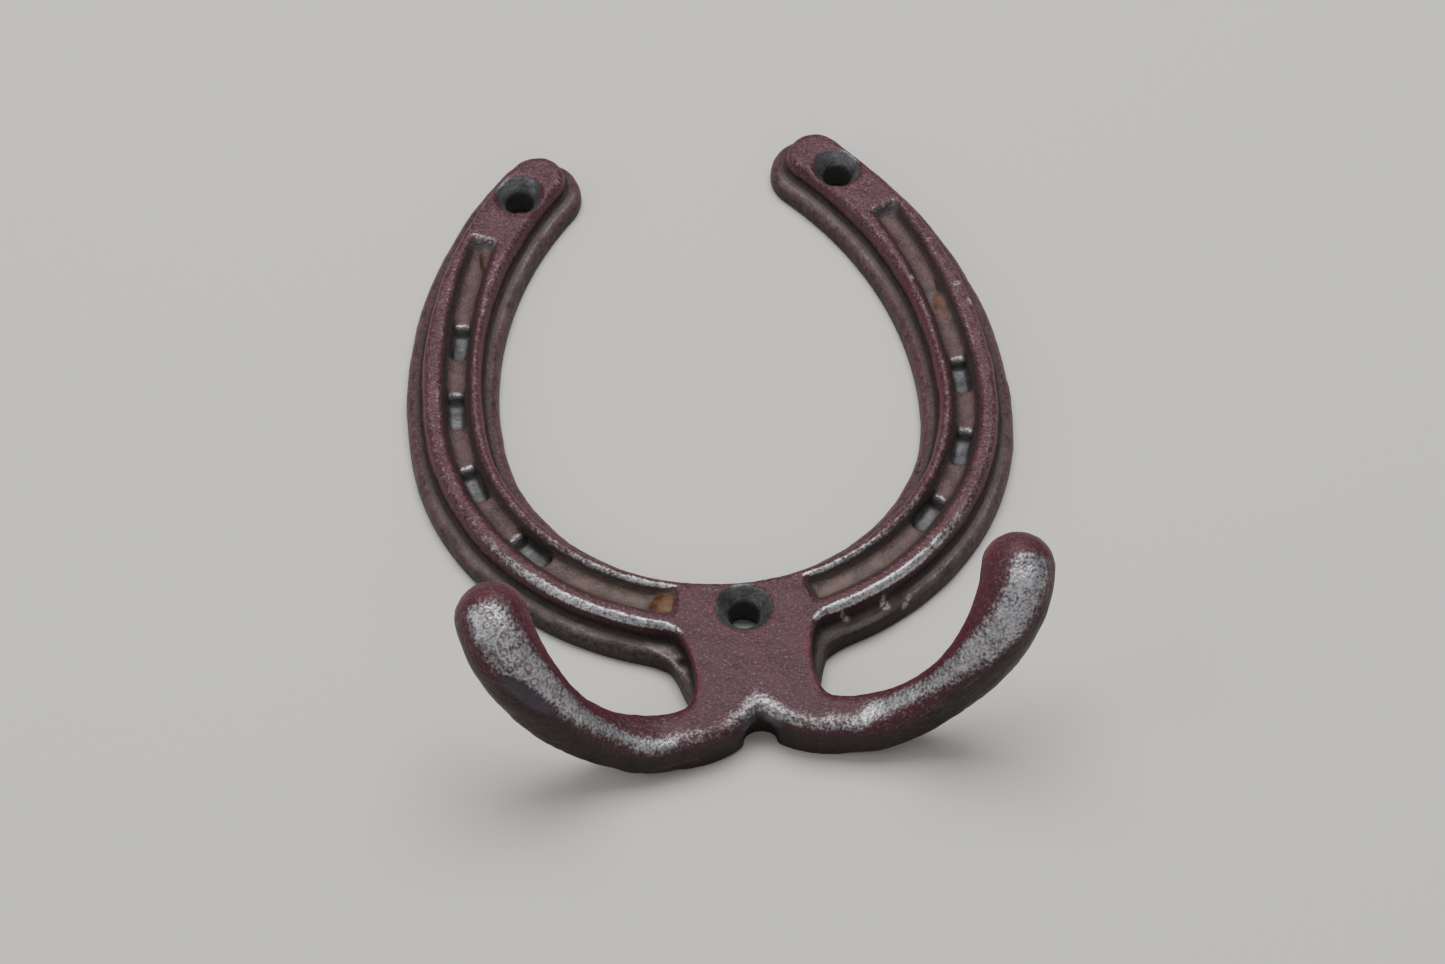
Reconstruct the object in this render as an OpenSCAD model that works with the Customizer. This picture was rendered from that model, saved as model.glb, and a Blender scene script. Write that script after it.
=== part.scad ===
/* [Band] */
// Thickness from the wall face to the top of the raised band
plate_t = 8; // [6:0.5:12]
// Width of the raised band
band_w = 10.5; // [8:0.5:14]
// Inner radius of the raised band round the toe
toe_r = 40.6; // [35:0.1:50]
// Height of the toe arc's centre above the toe screw hole
toe_c = 46.4; // [40:0.1:55]
// Inner radius of the raised band along each branch
branch_r = 79; // [60:1:110]
// Where the toe arc hands over to the branch arc, in degrees above sideways
join_a = -5.2; // [-20:0.1:20]
// Where the band's straight run ends and its rounded heel tip starts, in degrees
heel_a = 39.8; // [30:0.1:50]
// Radius of the raised band's rounded heel tip
tip_r = 5.8; // [5:0.1:8]
// Half angle of the toe plate between the two branches
seam_a = 17.4; // [16:0.1:20]

/* [Base flange] */
// How far the base runs past the raised band on every side
flange_w = 3.1; // [1:0.1:5]
// Height of the flange where it meets the raised band
flange_t = 4.3; // [3:0.1:6]

/* [Groove and nail pits] */
// Width of the groove at its mouth
groove_w = 5.6; // [4:0.1:7]
// Depth of the groove
groove_d = 2.5; // [1:0.1:4]
// Distance from the band's inner edge to the middle of the groove
groove_off = 4.7; // [4:0.1:6]
// Angle of the groove's toe end
groove_toe_a = 14.4; // [14:0.1:20]
// Angle of the groove's heel end
groove_heel_a = 21.2; // [15:0.1:25]
// Radius of the groove's middle along the branch
groove_r = 117; // [90:1:150]
// Length of a nail pit
pit_l = 8.6; // [4:0.1:10]
// Width of a nail pit
pit_w = 3.4; // [2:0.1:4.5]
// Depth of a nail pit below the groove floor
pit_d = 1.7; // [1:0.1:4]

/* [Screw holes] */
// Diameter of the through holes, for a No. 10 wood screw
bore_d = 5.3; // [4:0.1:7]
// Diameter of the countersinks at the face
sink_d = 9.8; // [8:0.1:12]
// Depth of the countersinks
sink_h = 2.7; // [2:0.1:4]
// Angle of the heel screw hole along the branch arc
heel_hole_a = 35.7; // [30:0.1:38]

/* [Neck and hooks] */
// Radius of each lobe of the neck's lower edge
lobe_r = 17.7; // [14:0.1:22]
// Sideways distance from the middle to the seam between neck and hook
hook_x = 13; // [11:0.5:16]
// Radius of the hollow between the neck's side and the hook
crotch_r = 7; // [5:0.5:9]
// Chamfer along the neck's lower edge
lip_c = 1.8; // [1:0.1:3]

/* [Hidden] */
cut = 1;
round_fn = 128;
ring_n = 28;
cap_n = 5;
heel_over_a = 8;
join_d = branch_r - toe_r;
branch_c = [-join_d * cos(join_a), toe_c - join_d * sin(join_a)];
mid_r = branch_r + band_w / 2;
heel_c = [branch_c[0] + mid_r * cos(heel_a), branch_c[1] + mid_r * sin(heel_a)];
heel_hole = [branch_c[0] + mid_r * cos(heel_hole_a), branch_c[1] + mid_r * sin(heel_hole_a)];
floor_z = plate_t - groove_d;
groove_toe_r = toe_r + groove_off;
lobe_y = lobe_r - 26.2;
crotch = [17, -13.4];
// The neck's face is this much lower than the band's, so that the two don't share a plane
face_gap = 0.02;
arch_y = -25;
arch_r = 3.4;
arch_l = 6;
sink_slope = (sink_d - bore_d) / sink_h;

// Right half of the neck's outline at the face, and of its base below the flange height
neck_top = [[9, 5.1], [12.4, -3.2], [11.4, -4.6], [10.8, -6.4], [10.2, -9.4], [10, -13.4], [10, -17]];
neck_base = [[15.2, -5.2], [13.2, -7.4], [12.4, -9.6], [11.6, -12.4], [10.4, -16]];

// Band edge from the wall face up: distance outside the raised band, height
edge = [
    [flange_w - 0.5, 0], [flange_w, 0.8], [flange_w, 2.6], [flange_w - 0.5, 3.6], [flange_w - 1.3, flange_t],
    [0.7, flange_t - 0.1], [0.2, flange_t + 0.4], [0, flange_t + 1.4], [0, plate_t - 0.5], [-0.5, plate_t]
];

// Nail pit middles: distance from the toe hole toward the heel, distance from the centre line, turn.
// The two branches' pits don't quite mirror each other
left_pits = [[18, 34.8, 50], [33.5, 43.4, 73.5], [50.3, 45.4, 91.5], [66.3, 43.5, 99.5]];
right_pits = [[18, 34.8, 50], [31.9, 42.9, 71], [48.3, 45.3, 90.5], [66.3, 43.5, 99.5]];

// Hook stations from the seam to the tip: centre x, y, z, half width, half height, squareness
hook_path = [
    [13.0, -22.65, 4.0, 3.7, 4.0, 4.5], [16.0, -23.2, 4.15, 4.0, 4.1, 4.2], [20.3, -23.5, 5.1, 4.2, 4.3, 3.4],
    [24.6, -23.45, 7.1, 3.9, 4.5, 2.9], [28.4, -23.3, 9.9, 3.8, 4.7, 2.6], [31.6, -23.1, 13.1, 3.95, 4.95, 2.5],
    [34.3, -22.7, 16.7, 4.4, 5.3, 2.4], [36.7, -21.9, 20.5, 4.9, 5.6, 2.3], [38.9, -20.6, 24.3, 5.5, 5.9, 2.2],
    [40.6, -18.9, 27.6, 5.9, 6.0, 2.1], [41.8, -16.7, 30.1, 6.0, 6.0, 2.0], [42.4, -14.1, 31.3, 6.1, 6.05, 2.0]
];
last = len(hook_path) - 1;

function reversed(v) = [for (i = [len(v) - 1 : -1 : 0]) v[i]];
function at(i) = [hook_path[i][0], hook_path[i][1], hook_path[i][2]];
function unit(v) = v / norm(v);
// The seam's end faces straight along X, so that it lies flat on the neck
function heading(i) = i == 0 ? [1, 0, 0] : i == last ? unit(at(last) - at(last - 1)) : unit(at(i + 1) - at(i - 1));
function side(i) = unit(cross(heading(i), [0, 0, 1]));
function lift(i) = cross(side(i), heading(i));
function power(c, n) = sign(c) * pow(abs(c), 2 / n);
function ring(i, s, ahead) = [
    for (k = [0 : ring_n - 1])
        let (t = 360 * k / ring_n, p = hook_path[i])
        at(i) + ahead * heading(i) + s * p[3] * power(cos(t), p[5]) * side(i)
            + s * p[4] * power(sin(t), p[5]) * lift(i)
];

// Cross-section of the band about an axis at x = 0, with the raised band's inner edge at x = r
module band_section(r) {
    polygon(concat([for (p = edge) [r - p[0], p[1]]], reversed([for (p = edge) [r + band_w + p[0], p[1]]])));
}

module groove_section(r) {
    polygon([
        [r - groove_w / 2 + 0.5, floor_z], [r + groove_w / 2 - 0.5, floor_z],
        [r + groove_w / 2, plate_t], [r + groove_w / 2, plate_t + cut],
        [r - groove_w / 2, plate_t + cut], [r - groove_w / 2, plate_t]
    ]);
}

// The countersink's cone runs on past the face, so that the two don't share an edge
module screw_hole() {
    translate([0, 0, -cut]) cylinder(d = bore_d, h = plate_t + 2 * cut, $fn = round_fn);
    translate([0, 0, plate_t - sink_h])
        cylinder(d1 = bore_d, d2 = sink_d + cut * sink_slope, h = sink_h + cut, $fn = round_fn);
}

// Both arcs start from one plane, so that they join along one clean face
module band() {
    translate([0, toe_c, 0]) rotate([0, 0, join_a]) {
        rotate_extrude(angle = seam_a - 90 - join_a, $fn = round_fn) band_section(toe_r);
        translate([-join_d, 0, 0])
            rotate_extrude(angle = heel_a - join_a + heel_over_a, $fn = round_fn) band_section(branch_r);
    }
}

// What lies past the heel line and outside a round tip of radius r, from height z up
module outside_tip(r, z) {
    difference() {
        translate([-2 * band_w, 0, z]) cube([4 * band_w, 3 * band_w, plate_t + cut - z]);
        translate([0, 0, z - cut]) cylinder(r = r, h = plate_t + 3 * cut, $fn = round_fn);
    }
}

module heel_trim() {
    translate([heel_c[0], heel_c[1], 0]) rotate([0, 0, heel_a]) {
        outside_tip(tip_r + flange_w, -cut);
        outside_tip(tip_r, flange_t);
    }
}

module toe_groove() {
    translate([0, toe_c, 0])
        rotate_extrude(angle = groove_toe_a - 90, $fn = round_fn) groove_section(groove_toe_r);
}

module groove(pits) {
    toe_groove();
    translate([groove_toe_r - groove_r, toe_c, 0])
        rotate_extrude(angle = groove_heel_a, $fn = round_fn) groove_section(groove_r);
    for (p = pits)
        translate([p[1], p[0], floor_z - pit_d]) rotate([0, 0, p[2]])
            translate([-pit_l / 2, -pit_w / 2, 0]) cube([pit_l, pit_w, pit_d + cut]);
}

module branch(pits) {
    difference() {
        band();
        heel_trim();
        groove(pits);
        translate([heel_hole[0], heel_hole[1], 0]) screw_hole();
    }
}

module right_branch() {
    color([0.36, 0.13, 0.15]) branch(right_pits);
}

module left_branch() {
    color([0.36, 0.13, 0.15]) mirror([1, 0, 0]) branch(left_pits);
}

// One rounded lobe of the neck's lower edge, ending at the seam with its hook
module lobe() {
    translate([hook_x, lobe_y, 0]) rotate([0, 0, 180]) rotate_extrude(angle = 90, $fn = round_fn)
        polygon([[0, 0], [lobe_r, 0], [lobe_r, plate_t - lip_c], [lobe_r - lip_c, plate_t], [0, plate_t]]);
}

module mirrored_slab(half, h) {
    linear_extrude(height = h)
        polygon(concat(half, reversed([for (p = half) [-p[0], p[1]]])));
}

module toe_plate() {
    color([0.42, 0.17, 0.18]) difference() {
        union() {
            translate([0, toe_c, 0]) rotate([0, 0, -90 - seam_a])
                rotate_extrude(angle = 2 * seam_a, $fn = round_fn) band_section(toe_r);
            mirrored_slab(neck_top, plate_t - face_gap);
            mirrored_slab(neck_base, flange_t - 1);
            lobe();
            mirror([1, 0, 0]) lobe();
        }
        toe_groove();
        mirror([1, 0, 0]) toe_groove();
        for (m = [-1, 1])
            translate([m * crotch[0], crotch[1], -cut]) cylinder(r = crotch_r, h = plate_t + 2 * cut, $fn = round_fn);
        translate([0, arch_y, 0]) rotate([-90, 0, 0]) cylinder(r1 = arch_r, r2 = arch_r / 3, h = arch_l, $fn = round_fn);
        screw_hole();
    }
}

module hook() {
    stations = concat(
        [for (i = [0 : last]) ring(i, 1, 0)],
        [for (k = [1 : cap_n]) let (t = 84 * k / cap_n) ring(last, cos(t), 6 * sin(t))]
    );
    rows = len(stations);
    skin = [
        for (j = [0 : rows - 2]) for (k = [0 : ring_n - 1])
            let (q = (k + 1) % ring_n) each [
                [j * ring_n + k, j * ring_n + q, (j + 1) * ring_n + q],
                [j * ring_n + k, (j + 1) * ring_n + q, (j + 1) * ring_n + k]
            ]
    ];
    polyhedron(
        points = [for (s = stations) each s],
        faces = concat(
            skin,
            [[for (k = [ring_n - 1 : -1 : 0]) k]],
            [[for (k = [0 : ring_n - 1]) (rows - 1) * ring_n + k]]
        )
    );
}

module right_hook() {
    color([0.36, 0.13, 0.15]) hook();
}

module left_hook() {
    color([0.36, 0.13, 0.15]) mirror([1, 0, 0]) hook();
}

toe_plate();
left_branch();
right_branch();
left_hook();
right_hook();
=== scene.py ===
"""Looks for the cast horseshoe hook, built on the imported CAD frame.

The whole casting is one field of distances in millimetres, in the row frame, below 0 in the iron. Its
surface is cut along the seams into the five members, and each stands for its CAD node. One procedural
material reads masks that are worked out at each vertex."""

import math

import bmesh
import bpy
import numpy as np
from mathutils import Matrix, Vector, noise


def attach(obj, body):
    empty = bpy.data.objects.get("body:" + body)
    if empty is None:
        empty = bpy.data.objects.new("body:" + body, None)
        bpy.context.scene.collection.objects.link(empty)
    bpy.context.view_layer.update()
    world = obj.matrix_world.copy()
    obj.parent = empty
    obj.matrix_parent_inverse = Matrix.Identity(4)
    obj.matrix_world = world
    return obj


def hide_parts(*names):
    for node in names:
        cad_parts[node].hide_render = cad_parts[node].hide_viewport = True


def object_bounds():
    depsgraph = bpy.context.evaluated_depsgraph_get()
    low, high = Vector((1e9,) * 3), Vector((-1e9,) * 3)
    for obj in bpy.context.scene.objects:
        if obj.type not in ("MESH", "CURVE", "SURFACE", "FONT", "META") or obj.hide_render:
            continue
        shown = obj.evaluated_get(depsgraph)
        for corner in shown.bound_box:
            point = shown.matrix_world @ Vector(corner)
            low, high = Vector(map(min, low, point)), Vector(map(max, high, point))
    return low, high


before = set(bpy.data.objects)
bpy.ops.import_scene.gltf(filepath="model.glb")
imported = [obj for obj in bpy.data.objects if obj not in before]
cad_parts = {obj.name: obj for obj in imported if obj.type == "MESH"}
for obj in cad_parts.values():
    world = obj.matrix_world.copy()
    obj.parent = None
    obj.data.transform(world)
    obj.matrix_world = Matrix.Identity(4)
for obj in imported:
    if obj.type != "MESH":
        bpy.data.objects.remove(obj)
cad_bounds = [list(map(float, v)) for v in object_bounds()]

MM = 0.001
STEP = 0.36  # spacing of the field's points
FIELD_LO, FIELD_HI = (-56.2, -29.4, -1.5), (56.3, 114.8, 39.0)

# The design's dimensions, the same as in the CAD source. Angles are at the middle of an arc.
PLATE = 8.0  # height of the face over the back
BAND = 10.5  # width of the ridged plate
FLANGE = 3.1  # how far the foot stands out beside it
TOE_R, TOE_C = 40.6, 46.4  # the toe's inner radius, and the height of its middle
BRANCH_R = 79.0
JOIN = math.radians(-5.2)  # where the toe's arc gives way to the branch's
HEEL = math.radians(39.8)
HEEL_HOLE = math.radians(35.7)
SEAM = math.radians(17.4)  # between toe plate and branch
HOOK_X = 13.0  # between neck and hook
LOBE_R, NECK_END = 17.7, -26.2  # the neck's lower edge, round on each side of the notch
LOBE_Y = NECK_END + LOBE_R
GROOVE_OFF, GROOVE_W, GROOVE_R = 4.7, 5.6, 117.0  # from the toe's inner edge, width, radius on the branch
GROOVE_TOE, GROOVE_HEEL = math.radians(14.4), math.radians(21.2)  # its ends, on the toe's arc and its own
GROOVE_FLOOR = 5.5
PIT_L, PIT_W, PIT_ROUND, PIT_DEPTH = 8.6, 3.0, 0.7, 1.7  # length, width, rounding, depth
BORE_R, SINK_R, SINK_Z = 2.65, 4.9, 5.3  # screw holes: bore, countersink, and where the two meet

# Nail pits: |x|, y and how far the pit is turned, in degrees
LEFT_PITS = [(34.8, 18.0, 50), (43.4, 33.5, 73.5), (45.4, 50.3, 91.5), (43.5, 66.3, 99.5)]
RIGHT_PITS = [(34.8, 18.0, 50), (42.9, 31.9, 71), (45.3, 48.3, 90.5), (43.5, 66.3, 99.5)]
FILLED_PIT = 7  # the right branch's heel pit is nearly full of resin

# Ovals: the middle, then the half sizes along x, y and z
RECESS = (0, -22.3, 1.6, 2.9, 2.1, 3.6)  # hollow under the notch
RESIN = [
    (-12.8, 2.3, 5.8, 3.0, 3.1, 1.75),
    (44.8, 64.4, 4.7, 2.1, 4.4, 1.25),
    (-37.6, 84.6, 5.6, 0.8, 3.6, 1.1),
]

# The right hook's stations: x, y, z, half width, half height, and how square its section is
HOOK = np.array([
    [10.0, -22.2, 4.0, 3.5, 3.95, 4.4],
    [13.0, -22.65, 4.0, 3.7, 4.0, 4.4],
    [16.0, -23.2, 4.15, 4.0, 4.05, 4.0],
    [20.3, -23.5, 5.1, 4.15, 4.25, 3.3],
    [24.6, -23.45, 7.1, 3.9, 4.45, 2.9],
    [28.4, -23.3, 9.9, 3.8, 4.65, 2.6],
    [31.6, -23.1, 13.1, 3.95, 4.9, 2.45],
    [34.3, -22.7, 16.7, 4.35, 5.25, 2.35],
    [36.7, -21.9, 20.5, 4.9, 5.55, 2.25],
    [38.9, -20.6, 24.3, 5.45, 5.85, 2.15],
    [40.6, -18.9, 27.6, 5.85, 5.95, 2.1],
    [41.8, -16.7, 30.1, 5.95, 5.95, 2.0],
    [42.4, -14.1, 31.3, 6.0, 5.95, 2.0],
])
HOOK_CAP = 5.9  # length of the round end past the last station
SUBSTEPS = 7  # points of the smooth path from one station to the next

MID1, MID2 = TOE_R + BAND / 2, BRANCH_R + BAND / 2
C1 = np.array([0.0, TOE_C])
C2 = C1 - (BRANCH_R - TOE_R) * np.array([math.cos(JOIN), math.sin(JOIN)])
HEEL_C = C2 + MID2 * np.array([math.cos(HEEL), math.sin(HEEL)])
HEEL_HOLE_C = C2 + MID2 * np.array([math.cos(HEEL_HOLE), math.sin(HEEL_HOLE)])


# ---- small field tools

def smin(a, b, k):
    """The smaller of two fields, with a fillet about k wide where they meet."""
    h = np.clip(0.5 + 0.5 * (b - a) / k, 0, 1)
    return b + (a - b) * h - k * h * (1 - h)


def smax(a, b, k):
    return -smin(-a, -b, k)


def ramp(x, lo, hi):
    """0 below lo, 1 above hi, smooth between them."""
    t = np.clip((x - lo) / (hi - lo), 0, 1)
    return t * t * (3 - 2 * t)


def corner(u, v, r):
    """Field of a round corner of radius r, from the distances past the two lines where it starts."""
    return np.hypot(np.maximum(u, 0), np.maximum(v, 0)) + np.minimum(np.maximum(u, v), 0) - r


def oval(x, y, z, shape):
    """0 in the middle of an oval, 1 on its skin."""
    cx, cy, cz, rx, ry, rz = shape
    return np.sqrt(((x - cx) / rx) ** 2 + ((y - cy) / ry) ** 2 + ((z - cz) / rz) ** 2)


def polygon_field(x, y, pts):
    """Signed distance to a polygon, negative inside."""
    d2 = np.full(x.shape, 1e9, np.float32)
    inside = np.zeros(x.shape, bool)
    for (x0, y0), (x1, y1) in zip(pts, pts[1:] + pts[:1]):
        ex, ey = x1 - x0, y1 - y0
        wx, wy = x - x0, y - y0
        t = np.clip((wx * ex + wy * ey) / (ex * ex + ey * ey + 1e-12), 0, 1)
        d2 = np.minimum(d2, (wx - t * ex) ** 2 + (wy - t * ey) ** 2)
        if y0 != y1:
            crosses = (y0 > y) != (y1 > y)
            inside ^= crosses & (x < (x1 - x0) * (y - y0) / (y1 - y0) + x0)
    return np.where(inside, -1, 1) * np.sqrt(d2)


def arc(cx, cy, r, a0, a1, n):
    a = np.radians(np.linspace(a0, a1, n))
    return [(cx + r * math.cos(t), cy + r * math.sin(t)) for t in a]


# ---- the casting's parts in plan

def band_offset(x, y):
    """Distance from the band's middle line: positive outside the shoe, negative inside, and past the heel
    line the distance from the tip's middle."""
    X = np.abs(x)
    ax, ay = X, y - C1[1]
    above = -math.sin(JOIN) * ax + math.cos(JOIN) * ay > 0
    toe = np.hypot(ax, ay) - MID1
    bx, by = X - C2[0], y - C2[1]
    branch = np.hypot(bx, by) - MID2
    out = np.where(above, branch, toe)
    past = np.arctan2(by, bx) > HEEL
    tip = np.hypot(X - HEEL_C[0], y - HEEL_C[1])
    return np.where(past & above, np.where(branch > 0, tip, -tip), out)


def groove_coords(x, y):
    """Sideways distance from the groove's middle, and distance past its nearer end."""
    X = np.abs(x)
    r = TOE_R + GROOVE_OFF
    ax, ay = X, y - TOE_C
    toe_v = np.hypot(ax, ay) - r
    toe_e = (GROOVE_TOE - np.arctan2(ax, -ay)) * r
    bx = X - (r - GROOVE_R)
    branch_v = np.hypot(bx, ay) - GROOVE_R
    branch_e = (np.arctan2(ay, bx) - GROOVE_HEEL) * GROOVE_R
    low = ay < 0
    return np.where(low, toe_v, branch_v), np.where(low, toe_e, branch_e)


def pit_field(x, y):
    """Outline field of the nearest nail pit, how high its bottom lies, and how far along the pit a point is.
    Past a low worn lip at the heel end it drops steeply."""
    out = None
    for i, (px, py, turn) in enumerate(LEFT_PITS + RIGHT_PITS):
        c, s = math.cos(math.radians(turn)), math.sin(math.radians(turn))
        X = -x if i < len(LEFT_PITS) else x
        u = (X - px) * c + (y - py) * s
        v = -(X - px) * s + (y - py) * c
        d = corner(np.abs(u) - (PIT_L / 2 - PIT_ROUND), np.abs(v) - (PIT_W / 2 - PIT_ROUND), PIT_ROUND)
        depth = PIT_DEPTH * (0.2 if i == FILLED_PIT else 1)
        z = GROOVE_FLOOR - depth * (0.12 * ramp(4.2 - u, 0, 0.5) + 0.88 * ramp(3.4 - u, 0, 1.2))
        if out is None:
            out, bottom, along = d, z, u
        else:
            bottom, along = np.where(d < out, z, bottom), np.where(d < out, u, along)
            out = np.minimum(out, d)
    return out, bottom, along


def hole_radius(x, y):
    """Distance from the nearest screw hole's axis."""
    return np.minimum(np.hypot(x, y), np.hypot(np.abs(x) - HEEL_HOLE_C[0], y - HEEL_HOLE_C[1]))


def mirrored(half):
    return half + [(-x, y) for x, y in half[::-1] if x > 0.01]


def neck_outlines():
    """The neck's outline at the face, and the wider one of the low skirt at its foot."""
    neck = [(0.0, 2.0), (11.0, 2.0), (12.6, -2.6), (11.6, -4.3), (10.8, -6.4), (10.2, -9.4), (10.0, -12.4)]
    neck += arc(17, -13.4, 7.0, 176, 262, 18)
    neck += [(17.2, -22.5), (16.4, -25.2)]
    neck += arc(HOOK_X, LOBE_Y, LOBE_R, -90, -137, 28)
    skirt = [(0, -17), (0, -3), (16.6, -3.6), (15.4, -5.0)]
    skirt += [(13.3, -7.2), (12.4, -9.6), (11.6, -12.4), (10.4, -16.6)]
    return mirrored(neck), mirrored(skirt)


# ---- hooks

def catmull_rom(rows, n):
    """A smooth path through the rows, n points to each stretch."""
    p = np.vstack([2 * rows[0] - rows[1], rows, 2 * rows[-1] - rows[-2]])
    out = []
    for i in range(1, len(p) - 2):
        for t in np.linspace(0, 1, n, endpoint=False):
            out.append(0.5 * (2 * p[i] + (p[i + 1] - p[i - 1]) * t
                              + (2 * p[i - 1] - 5 * p[i] + 4 * p[i + 1] - p[i + 2]) * t ** 2
                              + (3 * p[i] - p[i - 1] - 3 * p[i + 1] + p[i + 2]) * t ** 3))
    return np.array(out + [rows[-1]])


PATH = catmull_rom(HOOK, SUBSTEPS)


def hook_frames(path):
    """At each point of the path: the point, and the directions ahead, sideways and up."""
    c = path[:, :3]
    ahead = np.gradient(c, axis=0)
    ahead /= np.linalg.norm(ahead, axis=1)[:, None]
    side = np.cross(ahead, [0, 0, 1.0])
    side /= np.linalg.norm(side, axis=1)[:, None]
    return c, ahead, side, np.cross(side, ahead)


def hook_coords(x, y, z):
    """For points near the right hook: place along its path, then sideways, lift and ahead of it, and its half
    width, half height and squareness there."""
    c, h, side, lift = hook_frames(PATH)
    best = np.full(x.shape, 1e9, np.float32)
    idx = np.zeros(x.shape, np.int32)
    for i, q in enumerate(c):
        d = (x - q[0]) ** 2 + (y - q[1]) ** 2 + (z - q[2]) ** 2
        m = d < best
        best[m] = d[m]
        idx[m] = i
    last = len(c) - 1
    gap = np.linalg.norm(np.diff(c, axis=0), axis=1)
    gap = np.append(gap, gap[-1])
    at = np.stack([x, y, z], -1)
    ahead = ((at - c[idx]) * h[idx]).sum(-1)
    t = np.clip(idx + ahead / gap[idx], 0, last)
    i0 = np.minimum(t.astype(np.int32), last - 1)
    f = (t - i0)[..., None]

    def mix(v):
        return v[i0] * (1 - f) + v[i0 + 1] * f

    p = at - mix(c)
    size = mix(PATH[:, 3:])
    return (t, (p * mix(side)).sum(-1), (p * mix(lift)).sum(-1), (p * mix(h)).sum(-1),
            size[..., 0], size[..., 1], size[..., 2])


def hook_field(x, y, z):
    t, u, v, w, a, b, n = hook_coords(x, y, z)
    past = t >= len(PATH) - 1 - 1e-4
    w = np.where(past, np.maximum(w, 0), 0)
    q = (np.abs(u / a) ** n + np.abs(v / b) ** n + np.abs(w / HOOK_CAP) ** n) ** (1 / n)
    r = np.sqrt(u * u + v * v + w * w)
    return r - r / np.maximum(q, 1e-3)


# ---- the casting as one field

TABLE_STEP, TABLE_END = 0.05, 16


def section_table(zs, hollow):
    """The band's half section: rows are the distance from the middle line, columns the height. Beside the
    neck the bead on the flange gives way to one hollow face."""
    d = np.arange(0, TABLE_END, TABLE_STEP)
    D, Z = np.meshgrid(d, zs, indexing="ij")

    def slab(half, lo, hi, r):
        return corner(D - (half - r), np.abs(Z - (lo + hi) / 2) - ((hi - lo) / 2 - r), r)

    top = slab(BAND / 2 - 0.2 * (Z - 6.0), -3.0, PLATE, 1.1)
    foot_top, foot_round = (4.2, 0.7) if hollow else (3.95, 2.15)
    foot = slab(BAND / 2 + FLANGE - 0.2 * ramp(Z, 0, 4), -3.0, foot_top, foot_round)
    out = smin(top, foot, 0.7)
    at, r = ((2.45, 6.1), 2.35) if hollow else ((0.95, 4.75), 0.95)
    dip = np.hypot(D - (BAND / 2 + at[0]), Z - at[1]) - r
    return smax(out, -dip, 0.4).astype(np.float32)


def add_band(X2, Y2, zs):
    """The shoe's band all round, from its section."""
    off = band_offset(X2, Y2)
    i = np.clip(np.abs(off) / TABLE_STEP, 0, TABLE_END / TABLE_STEP - 1.001)
    i0 = i.astype(np.int32)
    f = (i - i0)[..., None].astype(np.float32)

    def look_up(table):
        return table[i0] * (1 - f) + table[i0 + 1] * f

    by_neck = ramp(np.where(X2 > 0, 31, 20) - np.abs(X2), 0, 9) * ramp(6 - Y2, 0, 5)
    w = by_neck[..., None] * (off > 0)[..., None]
    F = look_up(section_table(zs, False)) * (1 - w) + look_up(section_table(zs, True)) * w
    F += np.maximum(np.abs(off) - 15.5, 0)[..., None]
    return F


def add_neck(F, X2, Y2, Z):
    """The neck, with a wide soft lip along its lower edge and tighter sides."""
    sub = Y2[0] < 8
    outline, base = neck_outlines()
    n2 = polygon_field(X2[:, sub], Y2[:, sub], outline)
    b2 = polygon_field(X2[:, sub], Y2[:, sub], base)
    lip = (0.7 + 1.5 * ramp(-Y2[:, sub], 15, 20))[..., None]
    neck = corner(n2[..., None] + lip, Z - (PLATE - lip), lip)
    skirt = corner(b2[..., None] + 1.0, Z - 2.9, 1.0)
    part = smin(F[:, sub], skirt, 1.8)
    part = smin(part, neck, 1.5)
    F[:, sub] = smax(part, Z - PLATE, 0.15)


def add_hooks(F, xs, ys, zs, X2, Y2, Z):
    """Both hooks, blended into the neck, whose face stays flat between them."""
    near = (xs >= -52) & (xs <= 52), ys < -4
    G = np.meshgrid(np.abs(xs[near[0]]), ys[near[1]], zs, indexing="ij")
    G = [g.astype(np.float32) for g in G]
    keep = (G[0] > 2) & (np.abs(G[1] + 18) < 13)
    H = np.full(G[0].shape, 8.0, np.float32)
    H[keep] = smax(hook_field(G[0][keep], G[1][keep], G[2][keep]), 10 - G[0][keep], 2.5)
    block = np.ix_(near[0], near[1], np.arange(len(zs)))
    F[block] = smin(F[block], H, 0.9)
    flat = ramp(-np.abs(X2), -15, -11)[..., None]
    cut = smax(F, Z - PLATE - 3 * (1 - flat), 0.15)
    return np.where((flat > 0) & (Y2[..., None] < -4), cut, F)


def cut_hollows(F, X2, Y2, Z):
    """The recess under the notch, the groove with its pits and drops of resin, and the screw holes."""
    x, y = X2[..., None], Y2[..., None]
    F = smax(F, -(oval(x, y, Z, RECESS) - 1) * RECESS[4], 0.5)
    v, e = groove_coords(X2, Y2)
    slant = 1.3 * (PLATE - Z) / (PLATE - GROOVE_FLOOR)
    g = smax(np.abs(v)[..., None] - (GROOVE_W / 2 - slant), e[..., None] + slant * 1.2, 0.9)
    g = smax(g, GROOVE_FLOOR - Z, 1.5)
    F = smax(F, -g, 0.7)
    p, bottom, _ = pit_field(X2, Y2)
    p = smax(p[..., None] - 0.12 * (Z - GROOVE_FLOOR), bottom[..., None] - Z, 0.5)
    F = smax(F, -p, 0.3)
    for drop in RESIN:
        F = smin(F, (oval(x, y, Z, drop) - 1) * drop[5], 0.5)
    r = hole_radius(X2, Y2)[..., None]
    slope = (SINK_R - BORE_R) / (PLATE - SINK_Z)
    cone = (r - BORE_R - (Z - SINK_Z) * slope) / math.hypot(1, slope)
    return smax(F, -smin(r - BORE_R, cone, 0.3), 0.25)


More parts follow.
